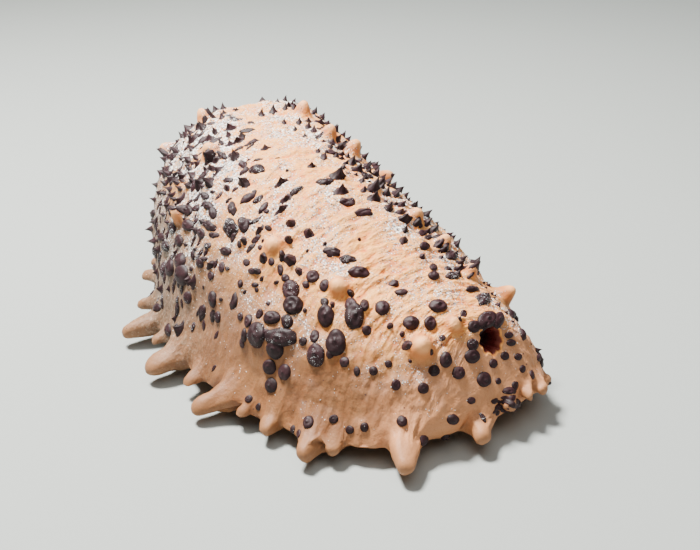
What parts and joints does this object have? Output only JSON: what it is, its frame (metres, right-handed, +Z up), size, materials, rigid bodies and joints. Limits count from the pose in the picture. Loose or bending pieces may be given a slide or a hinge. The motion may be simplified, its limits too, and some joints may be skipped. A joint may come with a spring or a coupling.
{
  "type": "sea cucumber",
  "caption": "Stout three-rowed sea cucumber at rest on its flat sole, with dark cone-shaped warts over a peach skin, blunt papillae round its lower edge and an open vent.",
  "frame": {"origin": "on the floor under the middle of the model's bounding box", "axes": "+Z up, +Y towards the vent end, -Y towards the mouth end, +X towards the animal's left side"},
  "size_m": [0.1382, 0.213, 0.079],
  "materials": {
    "skin": "matt peach skin, finely wrinkled and grainy, dusted with pale sand along the back",
    "vent_skin": "smoother peach skin in folds round a dark red opening",
    "wart": "dark purplish brown, semi-gloss, partly dusted",
    "sole_skin": "pale cream-peach skin with tube feet in three bands",
    "mouth_skin": "dull brown-peach skin",
    "tentacle_skin": "dark brown, moist"
  },
  "bodies": {
    "root": {"body_front": "skin", "body_middle": "skin", "body_rear": "skin", "vent": "vent_skin", "sole": "sole_skin", "mouth": "mouth_skin", "tentacle_01": "tentacle_skin", "tentacle_02": "tentacle_skin", "tentacle_03": "tentacle_skin", "tentacle_04": "tentacle_skin", "tentacle_05": "tentacle_skin", "tentacle_06": "tentacle_skin", "tentacle_07": "tentacle_skin", "tentacle_08": "tentacle_skin", "tentacle_09": "tentacle_skin", "tentacle_10": "tentacle_skin", "tentacle_11": "tentacle_skin", "tentacle_12": "tentacle_skin", "tentacle_13": "tentacle_skin", "tentacle_14": "tentacle_skin", "tentacle_15": "tentacle_skin", "tentacle_16": "tentacle_skin", "tentacle_17": "tentacle_skin", "tentacle_18": "tentacle_skin", "tentacle_19": "tentacle_skin", "tentacle_20": "tentacle_skin"}
  },
  "joints": []
}
